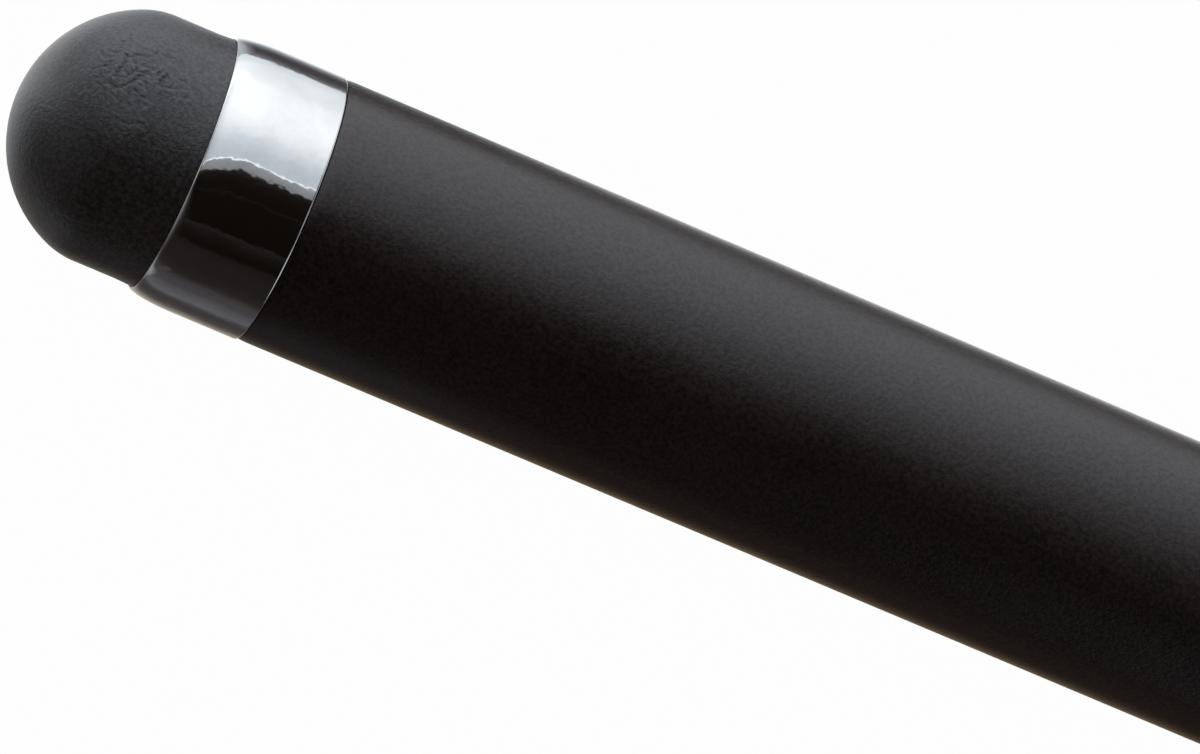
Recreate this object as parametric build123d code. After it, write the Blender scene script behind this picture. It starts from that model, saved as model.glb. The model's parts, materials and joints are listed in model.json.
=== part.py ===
from build123d import *
import os
from math import asin, atan2, degrees, hypot, sqrt

# A two-ended stylus pen: a hollow rubber touch dome in a chrome ring at one end of a black barrel,
# and a ballpoint under a pull-off cap with a pocket clip at the other end.
# Millimetres. The pen's axis is X, x = 0 is the dome's apex and the tail is towards +X.
# Every piece is drawn with the clip on +Y, then rolled about X until clip and rings rest on the ground.

# Barrel
barrel_radius = 4.25
barrel_length = 79.0
barrel_wall = 0.8
barrel_edge_round = 0.12
ring_proud = 0.03

# Touch dome
dome_straight = 1.32
dome_crown_bulge = 0.11
dome_shoulder_radius = 2.5
dome_wall = 0.9
dome_pinch = 0.06
dome_pinch_length = 0.55
dome_skirt_length = 1.75
dome_press_travel = 0.8
dome_stop_gap = 0.15
dome_slide_clearance = 0.04
dome_post_clearance = 0.08

# Chrome ring at the dome and the core that carries it
tip_ring_length = 3.62
tip_ring_wall = 0.24
tip_ring_lip = 0.05
tip_ring_shoulder = 1.4
tip_ring_rear_round = 0.15
tip_ring_gap = 0.06
post_reach = 1.2
post_edge_round = 0.5
tip_stud_radius = 2.0
tip_stud_length = 6.0
tip_bush_margin = 1.0
thread_clearance = 0.02

# Centre ring and writing end
barrel_bush_margin = 1.0
centre_ring_length = 1.8
centre_ring_crown = 0.16
shank_radius = 2.75
shank_length = 8.0
section_straight = 14.0
section_taper = 9.0
section_nose_radius = 2.2
grip_grooves = 5
grip_groove_width = 0.7
grip_groove_depth = 0.18
grip_groove_pitch = 1.6
nose_cone_length = 6.5
nose_tip_radius = 1.6
nose_edge_round = 0.12
nose_spigot_radius = 1.75
nose_spigot_length = 3.0

# Refill: 67 mm long, 2.35 mm across
refill_radius = 1.175
refill_length = 67.0
refill_tube_wall = 0.15
refill_clearance = 0.1
refill_exposed = 2.4
refill_grip_clearance = 0.01
holder_wall = 0.75
holder_length = 7.0
point_shank_length = 3.0
point_body_length = 4.5
point_cone_length = 4.0
point_lip_wall = 0.12
ink_channel_radius = 0.2
ball_radius = 0.5
ball_clearance = 0.02
ball_protrusion = 0.28

# Cap
cap_wall = 0.5
cap_gap = 0.15
cap_edge_round = 0.12
cap_liner_wall = 0.45
cap_liner_setback = 0.6
cap_liner_length = 13.0
cap_slide_clearance = 0.05
cap_head_room = 2.0
cap_bush_length = 4.0
cap_neck_radius = 3.2
cap_neck_relief = 0.1
collar_length = 3.4
collar_edge_round = 0.2
collar_clearance = 0.02
finial_length = 3.4
finial_rim = 0.8
finial_flat_radius = 2.7
finial_stud_radius = 1.5
finial_stud_length = 5.0

# Pocket clip
clip_thickness = 0.7
clip_gap = 1.1
clip_contact_clearance = 0.15
clip_toe_margin = 4.5
clip_toe_length = 2.6
clip_toe_lift = 0.75
clip_width = 2.6
clip_root_bend = 1.3
clip_contact_bend = 4.0
clip_tab_gap = 0.2
clip_edge_round = 0.2
slot_clearance = 0.1
slot_side_clearance = 0.05

# Radii that follow from the sizes above
ring_radius = barrel_radius + ring_proud
tip_ring_bore = ring_radius - tip_ring_wall
dome_radius = tip_ring_bore - dome_slide_clearance
dome_crown_radius = dome_radius + dome_crown_bulge
dome_bore = dome_radius - dome_wall
barrel_bore = barrel_radius - barrel_wall
cap_bore = barrel_radius - cap_wall
cap_liner_bore = cap_bore - cap_liner_wall
section_radius = cap_liner_bore - cap_slide_clearance
holder_radius = refill_radius + refill_grip_clearance + holder_wall
refill_bore = refill_radius + refill_clearance

# Places along the axis
lip_x = dome_crown_radius + dome_straight
skirt_x = lip_x + dome_skirt_length
ring_end_x = lip_x + tip_ring_length
barrel_front_x = ring_end_x + tip_ring_gap
barrel_end_x = barrel_front_x + barrel_length
shoulder_x = barrel_end_x + centre_ring_length
taper_x = shoulder_x + section_straight
section_end_x = taper_x + section_taper
nose_end_x = section_end_x + nose_cone_length
point_front_x = nose_end_x + refill_exposed
ball_front_x = point_front_x + ball_protrusion
ball_x = ball_front_x - ball_radius
point_body_x = point_front_x - point_cone_length - point_body_length
refill_rear_x = ball_front_x - refill_length
cap_mouth_x = shoulder_x + cap_gap
cap_end_x = ball_front_x + cap_head_room + cap_bush_length
collar_end_x = cap_end_x + collar_length
tail_x = collar_end_x + finial_length

# The clip's centre line
clip_root_x = cap_end_x + collar_length / 2
clip_root_y = cap_neck_radius + clip_tab_gap
clip_arm_y = barrel_radius + clip_gap + clip_thickness / 2
clip_contact_y = barrel_radius + clip_contact_clearance + clip_thickness / 2
clip_toe_x = cap_mouth_x + clip_toe_margin
clip_contact_x = clip_toe_x + clip_toe_length

# The roll at which the clip's edge and the rings stand on the same ground
clip_edge_height = clip_arm_y + clip_thickness / 2 - clip_edge_round
clip_edge_side = clip_width / 2 - clip_edge_round
clip_edge_reach = hypot(clip_edge_height, clip_edge_side)
clip_edge_angle = atan2(clip_edge_side, clip_edge_height)
clip_dip = asin((ring_radius - clip_edge_round) / clip_edge_reach) - clip_edge_angle
rest_roll = 180 + degrees(clip_dip)


def turned(*corners):
    """A solid turned about X from corners (x, radius) or (x, radius, rounding)."""
    points = [corner[:2] for corner in corners]
    roundings = [corner[2] if len(corner) == 3 else 0 for corner in corners]
    if any(roundings):
        outline = FilletPolyline(*points, radius=roundings, close=True)
    else:
        outline = Polyline(*points, close=True)
    return revolve(make_face(outline), Axis.X)


def tube(start, end, radius, bore, rounding=0):
    """A plain tube from start to end with both outer edges rounded."""
    return turned((start, bore), (start, radius, rounding), (end, radius, rounding), (end, bore))


def rod(start, end, radius):
    """A plain round bar from start to end."""
    return turned((start, 0), (start, radius), (end, radius), (end, 0))


def dome_outline(inset):
    """The dome's crown arc and the shoulder arc tangent to it, set in from the skin, and their end."""
    crown_radius = dome_crown_radius - inset
    shoulder_radius = dome_shoulder_radius - inset
    shoulder_y = dome_radius - dome_shoulder_radius
    offset = dome_crown_radius - dome_shoulder_radius
    shoulder_x = dome_crown_radius - sqrt(offset**2 - shoulder_y**2)
    turn = degrees(atan2(shoulder_y, shoulder_x - dome_crown_radius))
    crown = CenterArc((dome_crown_radius, 0), crown_radius, turn, 180 - turn)
    shoulder = CenterArc((shoulder_x, shoulder_y), shoulder_radius, 90, turn - 90)
    return crown, shoulder, (shoulder_x, shoulder_y + shoulder_radius)


def stylus_dome():
    """Hollow rubber dome: crown, soft shoulder, straight wall, and a skirt drawn in under the ring."""
    skirt_radius = dome_radius - dome_pinch
    crown, shoulder, outer_end = dome_outline(0)
    hollow, hollow_shoulder, inner_end = dome_outline(dome_wall)
    wall = Polyline(
        outer_end,
        (lip_x - dome_pinch_length, dome_radius),
        (lip_x, skirt_radius),
        (skirt_x, skirt_radius),
        (skirt_x, dome_bore),
        inner_end,
    )
    thickness = Line((0, 0), (dome_wall, 0))
    return revolve(make_face([crown, shoulder, wall, hollow_shoulder, hollow, thickness]), Axis.X)


def tip_core():
    """Post inside the dome, flange that carries the ring, and the stud that screws into the barrel."""
    post_radius = dome_bore - dome_post_clearance
    flange_x = skirt_x + dome_press_travel + dome_stop_gap
    stud_end = barrel_front_x + tip_stud_length
    return turned(
        (lip_x - post_reach, 0),
        (lip_x - post_reach, post_radius, post_edge_round),
        (flange_x, post_radius),
        (flange_x, tip_ring_bore),
        (barrel_front_x, tip_ring_bore),
        (barrel_front_x, tip_stud_radius),
        (stud_end, tip_stud_radius, tip_stud_radius / 6),
        (stud_end, 0),
    )


def tip_ring():
    """Chrome ring with a long soft shoulder towards the dome and a small round at the barrel."""
    lip_radius = tip_ring_bore + tip_ring_lip
    shoulder_end = lip_x + tip_ring_shoulder
    rear_x = ring_end_x - tip_ring_rear_round
    rear_y = ring_radius - tip_ring_rear_round
    shoulder = EllipticalCenterArc(
        (shoulder_end, lip_radius), tip_ring_shoulder, ring_radius - lip_radius, 90, arc_size=90
    )
    inside = Polyline(
        (lip_x, lip_radius), (lip_x, tip_ring_bore), (ring_end_x, tip_ring_bore), (ring_end_x, rear_y)
    )
    rear = CenterArc((rear_x, rear_y), tip_ring_rear_round, 0, 90)
    band = Line((rear_x, ring_radius), (shoulder_end, ring_radius))
    return revolve(make_face([shoulder, inside, rear, band]), Axis.X)


def tip_bush():
    """Threaded bush in the barrel's front end that takes the core's stud."""
    bush_end = barrel_front_x + tip_stud_length + tip_bush_margin
    return tube(barrel_front_x, bush_end, barrel_bore, tip_stud_radius + thread_clearance)


def barrel_tube():
    """Straight black barrel."""
    return tube(barrel_front_x, barrel_end_x, barrel_radius, barrel_bore, barrel_edge_round)


def barrel_bush():
    """Threaded bush in the barrel's rear end that takes the writing section."""
    bush_start = barrel_end_x - shank_length - barrel_bush_margin
    return tube(bush_start, barrel_end_x, barrel_bore, shank_radius + thread_clearance)


def centre_ring():
    """Chrome ring with a crowned face, clamped between the barrel and the writing section."""
    bore = shank_radius + thread_clearance
    edge = ring_radius - centre_ring_crown
    middle = (barrel_end_x + shoulder_x) / 2
    crown = ThreePointArc((barrel_end_x, edge), (middle, ring_radius), (shoulder_x, edge))
    inside = Polyline((shoulder_x, edge), (shoulder_x, bore), (barrel_end_x, bore), (barrel_end_x, edge))
    return revolve(make_face([crown, inside]), Axis.X)


def section_radius_at(x):
    """Outer radius of the writing section at x on its taper."""
    share = (x - taper_x) / section_taper
    return section_radius + (section_nose_radius - section_radius) * share


def pen_section():
    """Writing section: shank, straight part that the cap slides on, grooved taper, bored through."""
    body = turned(
        (barrel_end_x - shank_length, refill_bore),
        (barrel_end_x - shank_length, shank_radius),
        (shoulder_x, shank_radius),
        (shoulder_x, section_radius),
        (taper_x, section_radius),
        (section_end_x, section_nose_radius),
        (section_end_x, refill_bore),
    )
    rear = barrel_end_x - shank_length
    body -= rod(rear, rear + holder_length, holder_radius)
    body -= rod(section_end_x - nose_spigot_length, section_end_x, nose_spigot_radius)
    middle = taper_x + section_taper / 2
    half = grip_groove_width / 2
    for index in range(grip_grooves):
        x = middle + (index - (grip_grooves - 1) / 2) * grip_groove_pitch
        floor = section_radius_at(x) - grip_groove_depth
        body -= tube(x - half, x + half, 2 * section_radius, floor)
    return body


def refill_holder():
    """Sleeve in the section's rear that grips the refill."""
    rear = barrel_end_x - shank_length
    return tube(rear, rear + holder_length, holder_radius, refill_radius + refill_grip_clearance)


def nose_cone():
    """Chrome cone at the writing end, with a spigot into the section."""
    return turned(
        (section_end_x - nose_spigot_length, refill_bore),
        (section_end_x - nose_spigot_length, nose_spigot_radius),
        (section_end_x, nose_spigot_radius),
        (section_end_x, section_nose_radius),
        (nose_end_x, nose_tip_radius, nose_edge_round),
        (nose_end_x, refill_bore),
    )


def refill_tube():
    """Ink tube, open at the rear."""
    return tube(refill_rear_x, point_body_x, refill_radius, refill_radius - refill_tube_wall)


def refill_point():
    """Brass writing point: shank in the tube, body, cone and the ball's socket."""
    lip_radius = ball_radius + point_lip_wall
    point = turned(
        (point_body_x - point_shank_length, ink_channel_radius),
        (point_body_x - point_shank_length, refill_radius - refill_tube_wall),
        (point_body_x, refill_radius - refill_tube_wall),
        (point_body_x, refill_radius),
        (point_body_x + point_body_length, refill_radius),
        (point_front_x, lip_radius),
        (point_front_x, ink_channel_radius),
    )
    return point - Pos(ball_x, 0, 0) * Sphere(ball_radius + ball_clearance)


def writing_ball():
    """Steel ball that rolls in the point's socket."""
    return Pos(ball_x, 0, 0) * Sphere(ball_radius)


def cap_tube():
    """Black cap, as thick as the barrel."""
    return tube(cap_mouth_x, cap_end_x, barrel_radius, cap_bore, cap_edge_round)


def cap_liner():
    """Plastic liner in the cap's mouth that grips the section."""
    start = cap_mouth_x + cap_liner_setback
    return tube(start, start + cap_liner_length, cap_bore, cap_liner_bore)


def cap_bush():
    """Bush that closes the cap's end; its neck carries the collar and takes the finial's stud."""
    bore = finial_stud_radius + thread_clearance
    neck_end = collar_end_x - cap_neck_relief
    return turned(
        (cap_end_x - cap_bush_length, bore),
        (cap_end_x - cap_bush_length, cap_bore),
        (cap_end_x, cap_bore),
        (cap_end_x, cap_neck_radius),
        (neck_end, cap_neck_radius),
        (neck_end, bore),
    )


def clip_collar():
    """Chrome collar with the slot that the clip's tab stands in."""
    bore = cap_neck_radius + collar_clearance
    collar = tube(cap_end_x, collar_end_x, ring_radius, bore, collar_edge_round)
    slot_length = clip_thickness + 2 * slot_clearance
    slot_width = clip_width + 2 * slot_side_clearance
    slot = Box(slot_length, ring_radius, slot_width, align=(Align.CENTER, Align.MIN, Align.CENTER))
    return collar - Pos(clip_root_x, cap_neck_radius / 2, 0) * slot


def pocket_clip():
    """Sprung strip clip: a tab up out of the collar, a long arm down to the cap and a lifted toe."""
    line = FilletPolyline(
        (clip_root_x, clip_root_y),
        (clip_root_x, clip_arm_y),
        (clip_contact_x, clip_contact_y),
        (clip_toe_x, clip_contact_y + clip_toe_lift),
        radius=[clip_root_bend, clip_contact_bend],
    )
    start = Plane(origin=line @ 0, x_dir=(0, 0, 1), z_dir=line % 0)
    strip = sweep(start * RectangleRounded(clip_width, clip_thickness, clip_edge_round), path=line)
    front = clip_toe_x + clip_thickness / 2
    back = clip_root_x + clip_thickness
    side = clip_width / 2 + clip_edge_round
    plan = FilletPolyline(
        (back, side),
        (front, side),
        (front, -side),
        (back, -side),
        radius=[0, 0.9 * side, 0.9 * side, 0],
        close=True,
    )
    return strip & extrude(Plane.XZ * make_face(plan), 2 * clip_arm_y, both=True)


def finial():
    """Chrome end of the cap: straight rim, pillowed face with a small flat, and a stud into the bush."""
    rim_x = collar_end_x + finial_rim
    stud_x = collar_end_x - finial_stud_length
    pillow_length = finial_length - finial_rim
    pillow_height = barrel_radius - finial_flat_radius
    pillow = EllipticalCenterArc((rim_x, finial_flat_radius), pillow_length, pillow_height, 0, arc_size=90)
    rest = Polyline(
        (rim_x, barrel_radius),
        (collar_end_x, barrel_radius),
        (collar_end_x, finial_stud_radius),
        (stud_x, finial_stud_radius),
        (stud_x, 0),
        (tail_x, 0),
        (tail_x, finial_flat_radius),
    )
    return revolve(make_face([pillow, rest]), Axis.X)


PIECES = (
    stylus_dome,
    tip_core,
    tip_ring,
    tip_bush,
    barrel_tube,
    barrel_bush,
    centre_ring,
    pen_section,
    refill_holder,
    nose_cone,
    refill_tube,
    refill_point,
    writing_ball,
    cap_tube,
    cap_liner,
    cap_bush,
    clip_collar,
    pocket_clip,
    finial,
)


def main():
    """Roll every piece into its rest pose and write it to its own file."""
    os.makedirs("parts", exist_ok=True)
    for piece in PIECES:
        solid = Rot(X=rest_roll) * piece()
        export_step(solid, f"parts/{piece.__name__}.step")


if __name__ == "__main__":
    main()
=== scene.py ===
"""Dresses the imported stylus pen: fine skins for the pieces that show, finishes, a studio and a camera."""

import json
import math

import bpy
import numpy as np
from mathutils import Matrix


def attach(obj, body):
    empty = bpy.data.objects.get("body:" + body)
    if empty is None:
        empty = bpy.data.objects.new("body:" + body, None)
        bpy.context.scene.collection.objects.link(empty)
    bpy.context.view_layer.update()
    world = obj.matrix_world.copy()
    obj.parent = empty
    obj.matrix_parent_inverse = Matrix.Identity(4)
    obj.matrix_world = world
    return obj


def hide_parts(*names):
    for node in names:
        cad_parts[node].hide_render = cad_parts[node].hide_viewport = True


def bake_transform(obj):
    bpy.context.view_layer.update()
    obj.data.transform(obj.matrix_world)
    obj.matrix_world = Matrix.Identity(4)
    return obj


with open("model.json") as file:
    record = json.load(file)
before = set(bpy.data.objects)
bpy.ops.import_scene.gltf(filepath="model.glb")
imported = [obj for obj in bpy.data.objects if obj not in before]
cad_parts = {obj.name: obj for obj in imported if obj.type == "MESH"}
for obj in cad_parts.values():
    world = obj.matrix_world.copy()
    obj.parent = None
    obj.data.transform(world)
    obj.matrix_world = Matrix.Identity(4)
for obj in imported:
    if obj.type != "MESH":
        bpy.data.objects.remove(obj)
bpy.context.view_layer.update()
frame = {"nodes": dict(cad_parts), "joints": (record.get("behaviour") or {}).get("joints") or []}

MM = 0.001

# Sizes are in millimetres. x runs along the pen from the dome's apex, and radii are about its axis.
EDGE_ROUND = 0.12
BORE_ROUND = 0.06
FINE_ROUND = 0.05

# Barrel: its front end is drawn in on an ellipse of this length and depth, from these degrees on.
BARREL_X = (9.0, 88.11)
BARREL_RADIUS = 4.25
BARREL_BORE = 3.45
BARREL_EASE = (0.4, 0.05)
BARREL_START = 165.0
BARREL_BAND_X = 80.0

# Tip ring: a shoulder on an ellipse of this length, from these degrees on, and a straight band.
LIP_X = 5.43
RING_END_X = 8.985
RING_RADIUS = 4.28
RING_BORE = 4.04
RING_SHOULDER = 1.4
RING_START = 172.0
RING_BAND_X = 8.0
RING_END_ROUND = 0.07

# Dome: a crown arc, a shoulder arc tangent to it, a straight wall and a skirt drawn in under the ring.
CROWN_RADIUS = 4.11
SHOULDER_RADIUS = 2.5
DOME_RADIUS = 4.0
DOME_WALL = 0.9
PINCH_X = 4.88
LIP_RADIUS = 4.025
SKIRT_X = (5.73, 7.18)
SKIRT_RADIUS = 3.94
SKIRT_ROUND = 0.1

# Centre ring and writing section; the section's places are its shank, shoulder, taper and front end.
CENTRE_RING_RISE = 0.16
CENTRE_RING_BORE = 2.77
SECTION_X = (80.11, 89.91, 103.91, 112.91)
SHANK_RADIUS = 2.75
SHANK_ROUND = 0.15
SECTION_RADIUS = 3.25
SECTION_END_RADIUS = 2.2
TAPER_ROUND = 4.0
HOLDER_END_X = 87.11
HOLDER_BORE = 1.935
REFILL_BORE = 1.275
GROOVES = 5
GROOVE_STEP = 1.6
GROOVE_HALF_WIDTH = 0.35
GROOVE_DEPTH = 0.18
GROOVE_ROUND = 0.08

# Nose cone, point and ball; the point's places are its shank, body, cone and front end.
SPIGOT_X = 109.91
SPIGOT_RADIUS = 1.75
NOSE_END_X = 119.41
NOSE_END_RADIUS = 1.6
POINT_X = (110.31, 113.31, 117.81, 121.81)
POINT_SHANK_RADIUS = 1.025
POINT_RADIUS = 1.175
POINT_CONE_ROUND = 0.2
POINT_END_RADIUS = 0.62
POINT_END_ROUND = 0.03
POINT_MOUTH_RADIUS = 0.5
INK_BORE = 0.2
BALL_X = 121.59
BALL_RADIUS = 0.5
BALL_GAP = 0.02

# Cap, collar and finial.
CAP_X = (90.06, 128.09)
CAP_BORE = 3.75
COLLAR_X = (128.09, 131.49)
COLLAR_BORE = 3.22
COLLAR_ROUND = 0.2
SLOT_X = (129.34, 130.24)
SLOT_HALF_WIDTH = 1.35
STUD_LENGTH = 5.0
STUD_RADIUS = 1.5
STUD_ROUND = 0.2
RIM_LENGTH = 0.7
RIM_ROUND = 0.06
PILLOW_LEAD = 0.8
PILLOW_RADIUS = 2.7
TAIL_X = 134.89
TAIL_RADIUS = 2.6

# Clip: a strip along a bent line of (x, height over the axis, rounding) on the clip's side of the pen.
# Its front is a round tongue on a short flat, and its thickness closes over the last of it.
CLIP_LINE = ((129.79, 3.4), (129.79, 5.70, 1.3), (97.16, 4.75, 4.0), (94.56, 5.50))
CLIP_FRONT_X = 94.91
CLIP_WIDTH = 2.6
CLIP_THICKNESS = 0.7
CLIP_ROUND = 0.2
TONGUE_RADIUS = 1.35
TONGUE_FLAT = 0.15
TONGUE_CLOSING = 0.3

# Points round a turned piece, and the degrees between two faces from which their edge shades as sharp.
COLUMNS = 288
SHARP_ANGLE = 32.0


# Shapes

def arc(centre, radii, start, stop, steps):
    """Points centre + (a cos, b sin) of an ellipse arc, at even angles from start to stop in degrees."""
    turn = np.radians(np.linspace(start, stop, steps + 1))
    return np.stack([centre[0] + radii[0] * np.cos(turn), centre[1] + radii[1] * np.sin(turn)], axis=1)


def eased(*corners, steps=7, lead=0.2):
    """A line through corners (x, r) or (x, r, rounding).

    A rounded corner becomes the arc that touches both of its sides. Its centre lies on the corner's
    bisector, at rounding / sin(half angle), and it leaves the sides at rounding / tan(half angle). One more
    point, a little further out on each side, keeps the flat beside the arc flat when it is shaded.
    """
    points = np.array([corner[:2] for corner in corners], float)
    runs = []
    for place, corner in enumerate(corners):
        here = points[place]
        if len(corner) == 2:
            runs.append(here[None])
            continue
        back = points[place - 1] - here
        ahead = points[(place + 1) % len(points)] - here
        back /= np.linalg.norm(back)
        ahead /= np.linalg.norm(ahead)
        half = math.acos(np.clip(back @ ahead, -1, 1)) / 2
        middle = back + ahead
        centre = here + middle / np.linalg.norm(middle) * corner[2] / math.sin(half)
        reach = corner[2] / math.tan(half)
        first = here + back * reach - centre
        last = here + ahead * reach - centre
        turn = math.atan2(first[0] * last[1] - first[1] * last[0], first @ last)
        angles = math.atan2(first[1], first[0]) + np.linspace(0, turn, steps + 1)
        bend = centre + corner[2] * np.stack([np.cos(angles), np.sin(angles)], axis=1)
        runs.append(np.vstack([bend[0] + back * lead * reach, bend, bend[-1] + ahead * lead * reach]))
    return np.vstack(runs)


def spun(outline, columns=COLUMNS):
    """Grid of an outline (x, r) turned about X: (x, r cos a, r sin a), with a going along the columns."""
    angle = np.linspace(0, 2 * np.pi, columns, endpoint=False)
    x = np.repeat(outline[:, :1], columns, axis=1)
    return np.stack([x, outline[:, 1:] * np.cos(angle), outline[:, 1:] * np.sin(angle)], axis=2)


def faces_of(grid, closed):
    """Corner numbers of the quads between a grid's rows and its columns, which close on themselves.

    With closed set, the last row joins the first. A row whose points all coincide is one vertex, and the
    quads there become triangles.
    """
    rows, columns = grid.shape[:2]
    number = np.arange(rows * columns).reshape(rows, columns)
    pole = np.ptp(grid, axis=1).max(axis=1) < 1e-9
    number[pole] = number[pole][:, :1]
    below = np.vstack([number, number[:1]]) if closed else number
    here, after = below[:-1], below[1:]
    quads = np.stack([here, np.roll(here, -1, axis=1), np.roll(after, -1, axis=1), after], axis=2)
    quads = quads.reshape(-1, 4)
    top = quads[:, 0] == quads[:, 1]
    bottom = quads[:, 2] == quads[:, 3]
    return quads[~top & ~bottom], np.vstack([quads[top][:, 1:], quads[bottom & ~top][:, :3]])


def make_piece(name, points, faces, finish, body, node):
    """One object from points in millimetres and lists of faces, riding on a body in place of a CAD node."""
    used, corners = np.unique(np.concatenate([f.ravel() for f in faces]), return_inverse=True)
    vertices = points.reshape(-1, 3)[used] * MM
    sizes = np.cumsum([0] + [f.size for f in faces])
    polygons = []
    for index, face in enumerate(faces):
        polygons += corners[sizes[index]:sizes[index + 1]].reshape(face.shape).tolist()
    mesh = bpy.data.meshes.new(name)
    mesh.from_pydata(vertices.tolist(), [], polygons)
    mesh.update()
    mesh.shade_smooth()
    mesh.set_sharp_from_angle(angle=math.radians(SHARP_ANGLE))
    mesh.materials.append(finish)
    piece = bpy.data.objects.new(name, mesh)
    bpy.context.scene.collection.objects.link(piece)
    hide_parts(node)
    if body:
        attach(piece, body)
    return piece, used


def turned_piece(name, outline, finish, body, node, closed=True):
    """A piece turned about the pen's axis; its outline goes up at the front and back along the bore."""
    grid = spun(outline)
    return make_piece(name, grid, faces_of(grid, closed), finish, body, node)[0]


# Touch dome

# Creases pressed into the rubber: a depth as a share of CREASE_DEPTH, then points of (arc length from the
# apex, angle about X in degrees).
CREASES = (
    (1.60, (4.5, 51), (4.5, 53), (4.5, 57), (4.4, 61), (4.4, 64)),
    (0.50, (4.2, 68), (4.5, 70), (4.7, 68)),
    (1.00, (4.7, 68), (5.0, 65), (5.1, 62), (5.3, 59)),
    (0.75, (4.6, 52), (4.9, 50), (5.2, 50), (5.4, 46)),
    (1.10, (4.9, 58), (4.8, 61), (4.7, 63)),
    (0.60, (5.1, 55), (5.2, 56), (5.4, 56)),
    (1.20, (5.8, 62), (5.8, 60), (5.9, 57)),
    (0.50, (5.9, 62), (6.1, 61)),
    (0.90, (5.6, 58), (5.7, 55)),
    (0.70, (5.6, 47), (5.9, 46)),
    (0.35, (5.1, 68), (5.2, 72)),
    (0.20, (5.1, 68), (5.3, 68)),
    (0.40, (5.3, 74), (5.6, 73)),
    (0.25, (5.0, 84), (5.4, 83), (5.7, 82)),
    (0.20, (4.5, 85), (4.7, 85)),
    (0.80, (4.3, 42), (4.3, 46)),
    (0.70, (4.5, 42), (4.5, 37)),
    (0.60, (3.9, 59), (4.1, 59), (4.1, 56)),
    (0.60, (3.7, 49), (3.8, 52)),
    (0.40, (3.6, 59), (3.6, 64)),
    (0.50, (3.9, 75), (4.0, 73)),
    (0.50, (6.3, 56), (6.5, 56)),
    (0.30, (6.5, 63), (6.7, 63)),
    (0.50, (4.0, 49), (4.3, 50)),
)
CREASE_DEPTH = 0.018
CREASE_WIDTH = 0.055
# The lips beside a crease: their height as a share of its depth, their distance and width in crease widths.
CREASE_LIPS = (0.45, 2.3, 1.3)
# The middle of the creased patch on the dome, and how far the patch reaches.
PATCH_ARC = 5.0
PATCH_ANGLE = 60.0
PATCH_REACH = 1.25
# Pebbles of the leather-like grain: size, groove's width, height in the patch and height elsewhere.
PEBBLES = ((0.44, 0.060, 0.015, 0.0008), (0.24, 0.040, 0.010, 0.0010))
PEBBLE_SEED = 11
PEBBLE_NET = 64
PEBBLE_SWAY = 0.30
PEBBLE_MEAN = 0.7
# The relief fades out over these lengths at the apex and at the lip.
RELIEF_FADE = (1.0, 0.8)
# Rows of the outer skin in three runs along the arc, of which the middle one spans the creases, and
# columns, which draw together on the patch's side by this share.
DOME_RUN_ENDS = (3.1, 6.75)
DOME_ROWS = (44, 166, 14)
DOME_COLUMNS = 400
DOME_DENSITY = 0.72


def crease_line(points):
    """A stroke's points with its corners cut twice, at a quarter and three quarters of each side."""
    line = np.array(points, float)
    for _ in range(2):
        quarter = 0.75 * line[:-1] + 0.25 * line[1:]
        rest = 0.25 * line[:-1] + 0.75 * line[1:]
        line = np.vstack([line[:1], np.stack([quarter, rest], axis=1).reshape(-1, 2), line[-1:]])
    return line


def pebbles(ahead, around, size, groove):
    """Leather grain on a plane: 1 on a pebble, 0 in the grooves.

    One seed point lies in each square of a net, moved off its middle. The two nearest seeds are sought
    among the nine squares round a place, and half the difference of their distances is how far the groove
    is. Two slow waves bend the net.
    """
    seeds = np.random.default_rng(PEBBLE_SEED).uniform(0.05, 0.95, size=(PEBBLE_NET, PEBBLE_NET, 2))
    bend = PEBBLE_SWAY * np.sin(2.1 * ahead / size + 1.3 * np.sin(1.7 * around / size))
    sway = PEBBLE_SWAY * np.sin(1.9 * around / size + 1.1 * np.sin(1.5 * ahead / size + 0.7))
    place = np.stack(np.broadcast_arrays(ahead / size + sway, around / size + bend), axis=-1)
    square = np.floor(place).astype(int)
    first = np.full(place.shape[:-1], np.inf)
    second = first.copy()
    for step in np.ndindex(3, 3):
        near = square + np.array(step) - 1
        seed = seeds[near[..., 0] % PEBBLE_NET, near[..., 1] % PEBBLE_NET]
        gap = np.linalg.norm(near + seed - place, axis=-1)
        second = np.minimum(second, np.maximum(first, gap))
        first = np.minimum(first, gap)
    return 1 - np.exp(-(((second - first) * size / 2) / groove) ** 2)


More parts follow.
